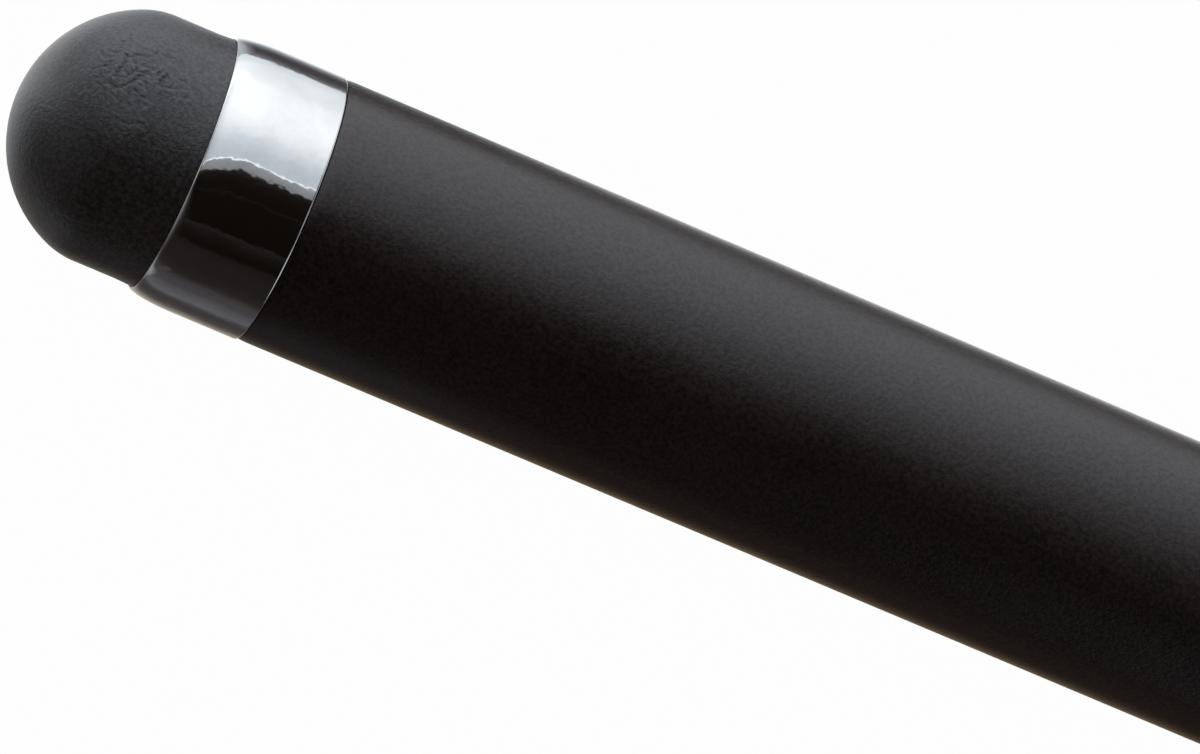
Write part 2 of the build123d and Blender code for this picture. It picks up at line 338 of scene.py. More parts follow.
def dome_relief(along, angle):
    """Height of the dome's skin over its plain outline, in mm.

    Each crease sinks by a bell of its distance and lifts two soft lips beside it; a small wobble keeps its
    line from being straight. Pebbles of two sizes fill a round patch about the creases and stand much lower
    over the rest of the dome, and a slow wave varies their height.
    """
    around = DOME_RADIUS * np.radians(angle - PATCH_ANGLE)
    ahead = along - PATCH_ARC
    wobble = 0.02 * np.sin(11 * ahead + 5 * around) + 0.015 * np.sin(29 * around - 17 * ahead)
    u, v = ahead + wobble, around + wobble
    lip_height, lip_place, lip_width = CREASE_LIPS
    sunk = np.zeros(np.broadcast_shapes(along.shape, angle.shape))
    lips = sunk.copy()
    for depth, *points in CREASES:
        line = crease_line(points) - (PATCH_ARC, PATCH_ANGLE)
        line[:, 1] = DOME_RADIUS * np.radians(line[:, 1])
        far = np.full(sunk.shape, np.inf)
        for start, step in zip(line[:-1], np.diff(line, axis=0)):
            share = ((u - start[0]) * step[0] + (v - start[1]) * step[1]) / (step @ step)
            share = np.clip(share, 0, 1)
            gap = np.hypot(u - start[0] - share * step[0], v - start[1] - share * step[1])
            far = np.minimum(far, gap)
        far /= CREASE_WIDTH
        sunk = np.maximum(sunk, depth * np.exp(-far**2))
        lips = np.maximum(lips, depth * np.exp(-((far - lip_place) / lip_width) ** 2))
    height = CREASE_DEPTH * (lip_height * lips - sunk)
    patch = np.exp(-((ahead / PATCH_REACH) ** 2 + (around / PATCH_REACH) ** 2) ** 1.5)
    slow = 0.75 + 0.35 * np.sin(3.1 * ahead + 1.9 * around) * np.sin(2.3 * around - 1.7 * ahead + 0.6)
    for size, groove, high, low in PEBBLES:
        height += (high * patch * slow + low) * (pebbles(ahead, around, size, groove) - PEBBLE_MEAN)
    return height


def touch_dome(finish):
    """The rubber dome, outer skin with its creases, skirt and inner skin in one grid.

    Rows follow the outline from the apex outside to the pole inside; they are closest over the creased
    patch. Columns go round at angle + density * sin, which draws them together on the patch's side. The
    outer skin is moved along the outline's normal by the relief.
    """
    shoulder_r = DOME_RADIUS - SHOULDER_RADIUS
    offset = CROWN_RADIUS - SHOULDER_RADIUS
    shoulder_x = CROWN_RADIUS - math.sqrt(offset**2 - shoulder_r**2)
    meet = math.degrees(math.atan2(shoulder_r, shoulder_x - CROWN_RADIUS))

    def skin(inset, steps):
        crown = arc((CROWN_RADIUS, 0), (CROWN_RADIUS - inset,) * 2, 180, meet, steps)
        shoulder = arc((shoulder_x, shoulder_r), (SHOULDER_RADIUS - inset,) * 2, meet, 90, steps // 3)
        return np.vstack([crown, shoulder[1:]])

    outer = np.vstack([skin(inset=0, steps=300), [(PINCH_X, DOME_RADIUS), (LIP_X, LIP_RADIUS)]])
    length = np.r_[0, np.cumsum(np.hypot(*np.diff(outer, axis=0).T))]
    ends = (0, *DOME_RUN_ENDS, length[-1])
    along = np.unique(np.concatenate([np.linspace(*run) for run in zip(ends[:-1], ends[1:], DOME_ROWS)]))
    outline = np.stack([np.interp(along, length, column) for column in outer.T], axis=1)
    outline[0, 1] = 0
    slope = np.gradient(outline, along, axis=0)
    normal = np.stack([-slope[:, 1], slope[:, 0]], axis=1) / np.linalg.norm(slope, axis=1, keepdims=True)

    share = np.linspace(0, 1, DOME_COLUMNS, endpoint=False)
    angle = 360 * (share - DOME_DENSITY * np.sin(2 * np.pi * share) / (2 * np.pi)) + PATCH_ANGLE
    signed = (angle - PATCH_ANGLE + 180) % 360 - 180 + PATCH_ANGLE
    fade = np.clip(along / RELIEF_FADE[0], 0, 1) * np.clip((length[-1] - along) / RELIEF_FADE[1], 0, 1)
    height = dome_relief(along[:, None], signed[None, :]) * fade[:, None]
    x = outline[:, :1] + normal[:, :1] * height
    r = outline[:, 1:] + normal[:, 1:] * height

    inner = skin(inset=DOME_WALL, steps=12)[::-1]
    inner[-1, 1] = 0
    inside = DOME_RADIUS - DOME_WALL
    rim = eased(
        (LIP_X, LIP_RADIUS), (SKIRT_X[0], SKIRT_RADIUS), (SKIRT_X[1], SKIRT_RADIUS, SKIRT_ROUND),
        (SKIRT_X[1], inside, SKIRT_ROUND), inner[0], steps=3,
    )
    rest = np.vstack([rim[1:-1], inner])
    x = np.vstack([x, np.repeat(rest[:, :1], DOME_COLUMNS, axis=1)])
    r = np.vstack([r, np.repeat(rest[:, 1:], DOME_COLUMNS, axis=1)])
    turn = np.radians(angle)
    grid = np.stack([x, r * np.cos(turn), r * np.sin(turn)], axis=2)
    dome, used = make_piece(
        "touch_dome", grid, faces_of(grid, False), finish, None, "stylus_dome"
    )
    # The relief's depth is kept on the points as an attribute, from which the rubber's finish paints shade
    # into the folds.
    depth = np.zeros(grid.shape[:2])
    depth[: len(along)] = height
    level = np.clip(0.5 + depth.ravel()[used] / (2 * CREASE_DEPTH), 0, 1)
    fold_shade = dome.data.attributes.new("fold_shade", "FLOAT", "POINT")
    fold_shade.data.foreach_set("value", level.astype(np.float32))
    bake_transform(dome)
    return dome


# Turned pieces

def tip_ring_outline():
    """Thin lip, long elliptical shoulder, straight band, round rear edge, plain bore."""
    rise = RING_RADIUS - RING_BORE
    middle = LIP_X - RING_SHOULDER * math.cos(math.radians(RING_START))
    shoulder = arc((middle, RING_BORE), (RING_SHOULDER, rise), RING_START, 90, steps=48)
    rear = eased(
        (RING_BAND_X, RING_RADIUS), (RING_END_X, RING_RADIUS, RING_END_ROUND), (RING_END_X, RING_BORE)
    )
    return np.vstack([[(LIP_X, RING_BORE)], shoulder, rear])


def barrel_outline():
    """Front end drawn in a little on an ellipse, rear edge rounded, plain bore."""
    front, end = BARREL_X
    length, drop = BARREL_EASE
    ease = arc((front + length, BARREL_RADIUS - drop), BARREL_EASE, BARREL_START, 90, steps=20)
    rear = eased((BARREL_BAND_X, BARREL_RADIUS), (end, BARREL_RADIUS, EDGE_ROUND), (end, BARREL_BORE))
    return np.vstack([[(ease[0, 0], BARREL_BORE)], ease, rear])


def cap_outline():
    """A tube with its outer edges rounded and its bore's edges broken."""
    front, end = CAP_X
    return eased(
        (front, CAP_BORE, BORE_ROUND), (front, BARREL_RADIUS, EDGE_ROUND), (end, BARREL_RADIUS, EDGE_ROUND),
        (end, CAP_BORE, BORE_ROUND),
    )


def centre_ring_outline():
    """Crowned face: the arc through both edges and the crown; plain bore."""
    low, high = BARREL_X[1], SECTION_X[1]
    half, rise = (high - low) / 2, CENTRE_RING_RISE
    radius = (half**2 + rise**2) / (2 * rise)
    spread = math.degrees(math.asin(half / radius))
    crown = arc((low + half, RING_RADIUS - radius), (radius, radius), 90 + spread, 90 - spread, steps=24)
    return np.vstack([[(low, CENTRE_RING_BORE)], crown, [(high, CENTRE_RING_BORE)]])


def section_outline():
    """Shank, straight part, taper with round-edged grooves at even steps about its middle, stepped bore."""
    shank, shoulder, taper, end = SECTION_X
    slope = (SECTION_END_RADIUS - SECTION_RADIUS) / (end - taper)
    grooves = []
    for step in range(GROOVES):
        middle = (taper + end) / 2 + (step - (GROOVES - 1) / 2) * GROOVE_STEP
        low, high = middle - GROOVE_HALF_WIDTH, middle + GROOVE_HALF_WIDTH
        before, wall, after = (SECTION_RADIUS + slope * (x - taper) for x in (low, middle, high))
        floor = wall - GROOVE_DEPTH
        grooves += [(low, before, FINE_ROUND), (low, floor, GROOVE_ROUND)]
        grooves += [(high, floor, GROOVE_ROUND), (high, after, FINE_ROUND)]
    return eased(
        (shank, HOLDER_BORE), (shank, SHANK_RADIUS, SHANK_ROUND), (shoulder, SHANK_RADIUS),
        (shoulder, SECTION_RADIUS, EDGE_ROUND), (taper, SECTION_RADIUS, TAPER_ROUND), *grooves,
        (end, SECTION_END_RADIUS, FINE_ROUND), (end, SPIGOT_RADIUS), (SPIGOT_X, SPIGOT_RADIUS),
        (SPIGOT_X, REFILL_BORE), (HOLDER_END_X, REFILL_BORE), (HOLDER_END_X, HOLDER_BORE), steps=5,
    )


def nose_outline():
    """Spigot, shoulder, cone and a round front edge; plain bore."""
    seat = SECTION_X[3]
    return eased(
        (SPIGOT_X, REFILL_BORE), (SPIGOT_X, SPIGOT_RADIUS), (seat, SPIGOT_RADIUS),
        (seat, SECTION_END_RADIUS, FINE_ROUND), (NOSE_END_X, NOSE_END_RADIUS, EDGE_ROUND),
        (NOSE_END_X, REFILL_BORE),
    )


def point_outline():
    """Shank, body, cone, thin lip and the ball's round socket, with the ink channel behind it."""
    shank, body, cone, front = POINT_X
    socket = BALL_RADIUS + BALL_GAP
    opening = math.degrees(math.acos((front - BALL_X) / socket))
    floor = 180 - math.degrees(math.asin(INK_BORE / socket))
    outside = eased(
        (shank, INK_BORE), (shank, POINT_SHANK_RADIUS), (body, POINT_SHANK_RADIUS),
        (body, POINT_RADIUS, FINE_ROUND), (cone, POINT_RADIUS, POINT_CONE_ROUND),
        (front, POINT_END_RADIUS, POINT_END_ROUND), (front, POINT_MOUTH_RADIUS),
    )
    return np.vstack([outside, arc((BALL_X, 0), (socket, socket), opening, floor, steps=16)])


def ball_outline():
    """Half circle from the rear pole over the top to the front pole."""
    outline = arc((BALL_X, 0), (BALL_RADIUS, BALL_RADIUS), 180, 0, steps=48)
    outline[[0, -1], 1] = 0
    return outline


def finial_outline():
    """Stud, flat seat, straight rim, elliptical pillow and the small flat at the tail."""
    seat = COLLAR_X[1]
    start = seat + PILLOW_LEAD
    stud = eased(
        (seat - STUD_LENGTH, 0), (seat - STUD_LENGTH, STUD_RADIUS, STUD_ROUND), (seat, STUD_RADIUS),
        (seat, BARREL_RADIUS, RIM_ROUND), (seat + RIM_LENGTH, BARREL_RADIUS),
    )
    pillow = arc((start, PILLOW_RADIUS), (TAIL_X - start, BARREL_RADIUS - PILLOW_RADIUS), 90, 0, steps=48)
    return np.vstack([stud, pillow, [(TAIL_X, TAIL_RADIUS), (TAIL_X, 0)]])


# Clip and collar

# Rows along the clip: the first one's place, how many follow up to the tongue, the length of the tongue and
# its rows; and the points on each corner of the strip.
CLIP_FIRST = 0.05
CLIP_ROWS = 130
TONGUE_LENGTH = 1.5
TONGUE_ROWS = 40
CORNER_POINTS = 7
# Columns across the collar's slot and round the rest of it.
SLOT_COLUMNS = 24
FREE_COLUMNS = 240


def clip_axes():
    """Unit vectors out through the clip and across it, from the axis that the clip flexes about."""
    flex = next(joint for joint in frame["joints"] if joint["name"] == "clip_flex")
    across = -np.array(flex["axis"], float)
    out = np.cross(across, (1.0, 0.0, 0.0))
    return out / np.linalg.norm(out), across / np.linalg.norm(across)


def pocket_clip(finish):
    """The sprung strip: a rounded rectangle carried along the bent centre line.

    The half width narrows to the tongue's round front, the half thickness closes on an ellipse over its
    last third of a millimetre, and both end rows shrink to a point.
    """
    line = eased(*CLIP_LINE, steps=28)
    length = np.r_[0, np.cumsum(np.hypot(*np.diff(line, axis=0).T))]
    toe = np.flatnonzero(line[:, 0] < CLIP_LINE[2][0])
    stop = np.interp(CLIP_FRONT_X, line[toe, 0][::-1], length[toe][::-1])
    closer = np.cos(np.linspace(0, np.pi / 2, TONGUE_ROWS)[1:])
    even = np.r_[0, np.linspace(CLIP_FIRST, stop - TONGUE_LENGTH, CLIP_ROWS), stop - TONGUE_LENGTH * closer]
    even = np.unique(even)
    path = np.stack([np.interp(even, length, column) for column in line.T], axis=1)
    slope = np.gradient(path, even, axis=0)
    slope /= np.linalg.norm(slope, axis=1, keepdims=True)
    normal = np.stack([slope[:, 1], -slope[:, 0]], axis=1)

    left = np.clip(stop - even, 0, None)
    sunk = TONGUE_RADIUS - np.clip(left, 0, TONGUE_RADIUS)
    tongue = TONGUE_FLAT + np.sqrt(np.clip(TONGUE_RADIUS**2 - sunk**2, 0, None))
    wide = np.minimum(CLIP_WIDTH / 2, tongue) * np.where(left > 0, 1, 0)
    blunt = np.clip(left / TONGUE_CLOSING, 0, 1)
    thick = CLIP_THICKNESS / 2 * np.sqrt(1 - (1 - blunt) ** 2)
    rounding = np.minimum(CLIP_ROUND, np.minimum(wide, thick))

    quarter = np.radians(np.linspace(0, 90, CORNER_POINTS))
    turn = (quarter[None] + np.radians([[0], [90], [180], [270]])).ravel()
    sides = np.repeat(np.array([[1, 1], [-1, 1], [-1, -1], [1, -1]], float), CORNER_POINTS, axis=0)
    flat = sides[None] * np.stack([wide - rounding, thick - rounding], axis=1)[:, None]
    bend = rounding[:, None, None] * np.stack([np.cos(turn), np.sin(turn)], axis=1)[None]
    section = flat + bend
    out, across = clip_axes()
    along = path[:, None, :] + section[:, :, 1:] * normal[:, None, :]
    grid = along[:, :, :1] * np.array([1.0, 0, 0]) + along[:, :, 1:] * out + section[:, :, :1] * across
    ends = [np.repeat(grid[i].mean(axis=0)[None, None], grid.shape[1], axis=1) for i in (0, -1)]
    grid = np.vstack([ends[0], grid, ends[1]])
    faces = faces_of(grid, False)
    return make_piece("pocket_clip_skin", grid, faces, finish, "clip", "pocket_clip")[0]


def clip_collar(finish):
    """The collar: a turned tube with columns along the slot's straight sides, the slot left out and walled.

    At every radius r the slot's edge columns stand at the angle whose sine is half width / r, and the other
    columns share out the rest of the circle evenly.
    """
    low, high = COLLAR_X
    outline = np.vstack([
        eased((low, COLLAR_BORE), (low, RING_RADIUS, COLLAR_ROUND), (SLOT_X[0], RING_RADIUS)),
        eased((SLOT_X[1], RING_RADIUS), (high, RING_RADIUS, COLLAR_ROUND), (high, COLLAR_BORE)),
        [(SLOT_X[1], COLLAR_BORE), (SLOT_X[0], COLLAR_BORE)],
    ])
    rows = len(outline)
    outer_front = int(np.flatnonzero(np.all(np.isclose(outline, (SLOT_X[0], RING_RADIUS)), axis=1))[0])
    outer = (outer_front, outer_front + 1)
    inner = (rows - 1, rows - 2)

    edge = np.arcsin(SLOT_HALF_WIDTH / outline[:, 1:])
    within = np.linspace(-1, 1, SLOT_COLUMNS + 1)[:-1]
    beyond = np.linspace(0, 1, FREE_COLUMNS, endpoint=False)
    angle = np.hstack([np.arcsin(within * np.sin(edge)), edge + beyond * (2 * np.pi - 2 * edge)])
    out, across = clip_axes()
    radial = np.cos(angle)[:, :, None] * out - np.sin(angle)[:, :, None] * across
    grid = outline[:, None, :1] * np.array([1.0, 0, 0]) + outline[:, None, 1:] * radial
    quads, triangles = faces_of(grid, True)
    columns = grid.shape[1]
    row, column = np.divmod(quads[:, 0], columns)
    quads = quads[~(((row == outer[0]) | (row == inner[1])) & (column < SLOT_COLUMNS))]

    span = np.arange(rows * columns).reshape(rows, columns)[:, : SLOT_COLUMNS + 1]
    top, under = (span[outer[0]], span[outer[1]]), (span[inner[0]], span[inner[1]])
    walls = [
        np.stack([top[0][:-1], top[0][1:], under[0][1:], under[0][:-1]], axis=1),
        np.stack([top[1][1:], top[1][:-1], under[1][:-1], under[1][1:]], axis=1),
        np.array([[top[1][0], top[0][0], under[0][0], under[1][0]]]),
        np.array([[top[0][-1], top[1][-1], under[1][-1], under[0][-1]]]),
    ]
    faces = (np.vstack([quads, *walls]), triangles)
    return make_piece("clip_collar_skin", grid, faces, finish, "cap", "clip_collar")[0]


# Finishes

class Value:
    """One output of a shader node; arithmetic on it adds Math nodes."""

    def __init__(self, nodes, socket):
        self.nodes = nodes
        self.socket = socket

    def _maths(self, operation, first, second):
        return self.nodes.add("Math", {"operation": operation}, {0: first, 1: second})

    def __add__(self, other):
        return self._maths("ADD", self, other)

    __radd__ = __add__

    def __sub__(self, other):
        return self._maths("SUBTRACT", self, other)

    def __rsub__(self, other):
        return self._maths("SUBTRACT", other, self)

    def __mul__(self, other):
        return self._maths("MULTIPLY", self, other)

    __rmul__ = __mul__

    def __gt__(self, other):
        return self._maths("GREATER_THAN", self, other)


class Nodes:
    """A material's or the world's node tree, filled through one method."""

    def __init__(self, owner):
        owner.use_nodes = True
        self.tree = owner.node_tree
        self.tree.nodes.clear()

    def add(self, kind, settings=None, sockets=None, output=0):
        """Adds a node: its settings, then the values or links of its sockets; gives back one output."""
        node = self.tree.nodes.new("ShaderNode" + kind)
        for name, value in (settings or {}).items():
            setattr(node, name, value)
        for name, value in (sockets or {}).items():
            if isinstance(value, Value):
                self.tree.links.new(value.socket, node.inputs[name])
            else:
                node.inputs[name].default_value = value
        return Value(self, node.outputs[output]) if node.outputs else None

    def place(self, scale=(1, 1, 1)):
        """Object coordinates in metres, stretched by scale."""
        here = self.add("TexCoord", output="Object")
        return here if scale == (1, 1, 1) else self.add("Mapping", {}, {"Vector": here, "Scale": scale})

    def noise(self, size, detail=2.0, roughness=0.5, scale=(1, 1, 1), distortion=0.0, output=0):
        """Noise whose features are about size millimetres across."""
        sockets = {"Vector": self.place(scale), "Scale": 1 / (size * MM), "Detail": detail,
                   "Roughness": roughness, "Distortion": distortion}
        return self.add("TexNoise", {}, sockets, output)

    def cells(self, size, feature, where=None):
        """Cells about size millimetres across: the distance to an edge or a centre."""
        sockets = {"Vector": where or self.place(), "Scale": 1 / (size * MM)}
        return self.add("TexVoronoi", {"feature": feature}, sockets, "Distance")

    def ease(self, value, low, high, start=0.0, stop=1.0):
        """Value from low to high eased into start to stop."""
        sockets = {"Value": value, "From Min": low, "From Max": high, "To Min": start, "To Max": stop}
        return self.add("MapRange", {"interpolation_type": "SMOOTHSTEP"}, sockets)

    def tint(self, share, first, second):
        """Colour between first and second."""
        return self.add("Mix", {"data_type": "RGBA"}, {0: share, 6: first, 7: second}, 2)

    def bump(self, height, depth):
        """Normal of a relief whose height of 1 stands depth millimetres proud."""
        return self.add("Bump", {}, {"Height": height, "Distance": depth * MM, "Strength": 1.0})

    def surface(self, shader):
        """Sends a shader to the output."""
        self.add("OutputMaterial", {}, {"Surface": shader})


def finish_nodes(name):
    """A new material and its empty node tree."""
    material = bpy.data.materials.new(name)
    return material, Nodes(material)


def grey(level, cool=0.0):
    """A neutral colour, a little cooler or warmer."""
    return (level * (1 - cool), level, level * (1 + cool), 1)


# Both black finishes throw the window back a little violet.
PAINT_TINT = (0.88, 0.917, 1.0, 1)
PAINT_GLOSS = 0.55
# Where the ink ends in the refill's tube.
INK_X = (61.5, 63.2)


def rubber_finish():
    """Matte grey silicone: fine leather grain, darker along faint cell creases, painted shade in the dome's
    folds, a few pale specks.
    """
    material, n = finish_nodes("conductive_rubber")
    grain = n.noise(0.13, roughness=0.55)
    blotch = n.noise(0.9)
    warped = n.add("VectorMath", {"operation": "MULTIPLY_ADD"}, {
        0: n.noise(0.35, output="Color"), 1: (0.22 * MM,) * 3, 2: n.place()})
    crease = n.ease(n.cells(0.17, "DISTANCE_TO_EDGE", warped), 0.0, 0.25)
    fold_shade = n.add("Attribute", {"attribute_name": "fold_shade"}, {}, "Fac")
    speck = n.ease(n.cells(0.55, "F1"), 0.035, 0.05, 1.0, 0.0) * (n.noise(0.8) > 0.6)
    # Painted shade: the colour darkens in the dome's folds by their depth. It is also darker along the
    # grain's cell creases.
    shade = n.ease(fold_shade, 0.1, 0.55) * (0.75 + 0.25 * crease) * (0.15 + 0.85 * n.ease(grain, 0.33, 0.67))
    colour = n.tint(shade, grey(0.010), grey(0.062, cool=0.05))
    colour = n.tint(speck * 0.5, colour, grey(0.22))
    n.surface(n.add("BsdfPrincipled", {}, {
        "Base Color": colour,
        "Roughness": 0.335 + 0.06 * blotch,
        "Specular IOR Level": PAINT_GLOSS,
        "Specular Tint": PAINT_TINT,
        "Normal": n.bump(grain + crease * 0.2, depth=0.013),
    }))
    return material


def soft_touch_finish():
    """Black soft-touch paint: fine even grain, slight cloudiness, sparse dust specks."""
    material, n = finish_nodes("soft_touch_black")
    grain = n.noise(0.13, detail=3.0, roughness=0.6)
    cloud = n.noise(3.5, detail=3.0)
    speck = n.ease(n.cells(0.7, "F1"), 0.028, 0.04, 1.0, 0.0) * (n.noise(1.1) > 0.62)
    shade = 0.2 * cloud + 0.8 * n.ease(grain, 0.33, 0.67)
    colour = n.tint(shade, (0.0048, 0.0032, 0.0025, 1), (0.036, 0.0275, 0.0245, 1))
    colour = n.tint(speck * 0.35, colour, grey(0.12))
    n.surface(n.add("BsdfPrincipled", {}, {
        "Base Color": colour,
        "Roughness": 0.3 + 0.05 * cloud,
        "Specular IOR Level": PAINT_GLOSS,
        "Specular Tint": PAINT_TINT,
        "Normal": n.bump(grain, depth=0.012),
    }))
    return material


def chrome_finish():
    """Polished chrome plate: slight waviness, faint round polishing lines, thin smudges."""
    material, n = finish_nodes("polished_chrome")
    wave = n.noise(1.6, detail=1.0)
    ripple = n.noise(0.28, detail=1.0)
    line = n.noise(0.05, roughness=0.6, scale=(1, 0.04, 0.04))
    smudge = n.noise(1.1, detail=4.0, roughness=0.6, distortion=0.6)
    n.surface(n.add("BsdfPrincipled", {}, {
        "Base Color": n.tint(n.ease(smudge, 0.3, 0.65), (0.55, 0.58, 0.603, 1), (0.60, 0.62, 0.632, 1)),
        "Metallic": 1.0,
        "Roughness": 0.045 + 0.05 * n.ease(smudge, 0.45, 0.75),
        "Normal": n.bump(wave + 0.22 * ripple + 0.01 * line, depth=0.018),
    }))
    return material


def brass_finish(name, deep, bright):
    """Turned brass: close lathe rings along the axis and slow tarnish between two colours."""
    material, n = finish_nodes(name)
    ring = n.noise(0.06, roughness=0.6, scale=(1, 0.03, 0.03))
    tarnish = n.noise(1.2, detail=4.0, roughness=0.6)
    n.surface(n.add("BsdfPrincipled", {}, {
        "Base Color": n.tint(tarnish, deep, bright),
        "Metallic": 1.0,
        "Roughness": 0.2 + 0.2 * tarnish,
        "Normal": n.bump(ring, depth=0.004),
    }))
    return material


def plastic_finish():
    """Satin black plastic: spark-eroded grain with polished wear clouds."""
    material, n = finish_nodes("satin_black_plastic")
    grain = n.noise(0.07, detail=3.0, roughness=0.6)
    wear = n.noise(2.2, detail=3.0)
    n.surface(n.add("BsdfPrincipled", {}, {
        "Base Color": n.tint(wear, grey(0.014), grey(0.021)),
        "Roughness": 0.32 + 0.16 * wear,
        "Normal": n.bump(grain, depth=0.004),
    }))
    return material


def refill_finish():
    """Milky tube with ink behind its wall, thinning towards the open rear end."""
    material, n = finish_nodes("refill_plastic")
    x = n.add("SeparateXYZ", {}, {"Vector": n.place()}, "X")
    edge = n.noise(0.8)
    ink = n.ease(x + 1.5 * MM * edge, INK_X[0] * MM, INK_X[1] * MM)
    n.surface(n.add("BsdfPrincipled", {}, {
        "Base Color": n.tint(ink, (0.72, 0.72, 0.69, 1), (0.028, 0.030, 0.05, 1)),
        "Roughness": 0.25 + 0.1 * edge,
    }))
    return material


def steel_finish():
    """Ground steel ball with a film of ink in patches."""
    material, n = finish_nodes("ball_steel")
    film = n.ease(n.noise(0.35, detail=3.0), 0.42, 0.62)
    n.surface(n.add("BsdfPrincipled", {}, {
        "Base Color": n.tint(film, (0.62, 0.62, 0.64, 1), (0.10, 0.10, 0.16, 1)),
        "Metallic": 1.0 - 0.7 * film,
        "Roughness": 0.14 + 0.14 * film,
    }))
    return material


# Studio

# Only reflections see these cards, which glow to paint the studio's light and shade into them: a sky arched
# over the pen and two strips on the floor beside it. Their levels are knots of (place, level); places are
# degrees round the arch, or millimetres along x or y.
CARD_RADIUS = 160.0
FLOOR_Z = -RING_RADIUS
FLOOR_GAP = 0.01

# The sky round the arch: the window on the +Y side, its frame, a dark canopy and the wall on the -Y side.
SKY = (
    (-92, 1.38), (-78, 1.42), (-62, 1.41), (-50, 1.22), (-41, 1.0), (-33, 0.83), (-26, 0.76), (-22.2, 0.73),
    (-21.9, 1.30), (-20.7, 1.30), (-20.4, 0.41), (-13.3, 0.30), (-12.2, 0.018), (-8, 0.009), (0, 0.0055),
    (6.8, 0.0052), (8.1, 0.0105), (9.2, 0.0052), (20, 0.0048), (38.4, 0.0042), (39.4, 0.0165),
    (45.6, 0.0085), (50, 0.0062), (54.5, 0.0046), (57, 0.0062), (59, 0.0126), (68.6, 0.0158),
    (78.7, 0.0158), (89.5, 0.021), (92, 0.026),
)
# The sky's level along the pen, and its share round the arch over the barrel, from these x on.
SKY_ALONG = (
    (-300, 0.35), (-200, 0.75), (-100, 0.95), (-40, 1.16), (0, 1.18), (20, 1.16), (33, 1.1), (45, 0.98),
    (60, 0.88), (80, 0.72), (110, 0.4),
)
BARREL_SKY = ((-92, 1.05), (-70, 1.08), (-50, 0.9), (-35, 0.66), (-15, 0.55), (0, 0.55))
BARREL_SKY_X = ((36, 0), (42, 1))
# The glow in front of the dome along the pen, its share round the arch, and where it opens all round.
FRONT = ((-330, 0.3), (-200, 0.2), (-130, 0.10), (-100, 0.04), (-60, 0.014), (-20, 0.006), (20, 0))
FRONT_SIDE = ((-12, 0), (20, 0.1), (45, 1))
FRONT_OPEN = ((-330, 1), (-230, 0))
# How the canopy slants away from the window before the ring: degrees, start and reach along the pen, and
# its share round the arch.
SLANT = (13.0, 18.0, 63.0)
SLANT_SIDE = ((-60, 0), (-24, 1), (0, 1), (60, 0))
SKY_COLUMNS = 140
SKY_ROWS_X = (
    -1200, -330, -280, -230, -200, -165, -130, -100, -80, -60, -45, -30, -20, -10, 0, 10, 20, 33, 36, 42,
    50, 60, 80, 90, 106, 122, 900,
)
# Past the barrel's front part the studio turns into a tent, the same on both sides, over a floor with a
# painted shadow by the pen: the tent round the arch, its floor by the distance from the axis, and where
# each begins.
TENT = (
    (-92, 0.92), (-64, 0.85), (-44, 0.5), (-36, 0.14), (-24, 0.12), (-14, 0.3), (0, 0.36), (14, 0.3),
    (24, 0.12), (36, 0.14), (44, 0.5), (64, 0.85), (92, 0.92),
)
TENT_FLOOR = (
    (0, 0.13), (4, 0.17), (5.5, 0.38), (8, 0.42), (11, 0.2), (16, 0.3), (28, 0.62), (60, 0.82), (300, 0.92),
)
TENT_X = ((90, 0), (122, 1))
TENT_FLOOR_X = ((55, 0), (85, 1))

# The floor on the window's side by y, with a dark band close to the pen that paints its contact shadow, and
# its gain along x. Beside the barrel another gain by y comes in; its edge leans along the pen. The corner
# under the ring's lip keeps a level of its own.
LIT_FLOOR = (
    (0, 1.1), (5, 1.1), (6.0, 0.6), (6.5, 0.3), (7.7, 0.085), (9.0, 0.07), (10.4, 0.13), (11.7, 0.25),
    (12.5, 1.08), (17, 1.28), (37, 1.38), (90, 1.5), (620, 1.5),
)
LIT_GAIN = ((-12, 1.35), (3, 1.15), (8, 1))
LIT_BARREL = ((7, 0.9), (10, 0.9), (12, -0.18), (22, -0.18), (40, 0))
LIT_CORNER = ((4, 0.7), (5.2, 0.5), (6.2, 0))
BARREL_FLOOR_X = ((13, 0), (18, 1))
BARREL_LEAN = 0.164
# The floor on the wall's side by y, painted dark as the shaded side of the pen, and how far the light floor
# in front of the dome reaches into it.
DIM_FLOOR = (
    (-620, 0.025), (-79, 0.035), (-24, 0.082), (-15, 0.14), (-13.3, 0.155), (-12.1, 0.107), (-11, 0.066),
    (-9.5, 0.06), (-8.2, 0.075), (-7.5, 0.085), (-6.4, 0.2), (-5, 0.38), (0, 0.38),
)
FRONT_FLOOR = ((-60, 0.14), (-25, 0.26), (-12, 0.5), (-5, 1.05), (-1, 1.2), (1, 0.9), (2.5, 0.3), (6, 0))
FRONT_REACH = (
    (-30, 0.06), (-17, 0.35), (-9, 0.28), (-6.2, 0.24), (-4.7, 0.3), (-3.5, 0.5), (-1.5, 0.85), (0, 1),
)
FLOOR_ROWS_X = (
    -400, -60, -25, -12, -8, -5, -3, -1, 1, 2.5, 4, 4.6, 5.2, 5.7, 6.2, 9, 13, 15, 18, 21, 24, 28, 33, 55,
    85, 900,
)
DIM_COLUMNS_Y = (-30, -17, -9, -6.8, -4.7, -4.3, -3.5, -1.5)

# Colours of the glow by its level, as (level, red, blue) against a green of 1: dim is warm, bright is cool.
TINTS = (
    (0.004, 1.50, 0.66), (0.015, 1.33, 0.95), (0.09, 1.08, 1.05), (0.4, 1.0, 1.03), (0.8, 0.94, 1.05),
    (1.1, 0.96, 1.03), (1.5, 0.99, 1.01),
)
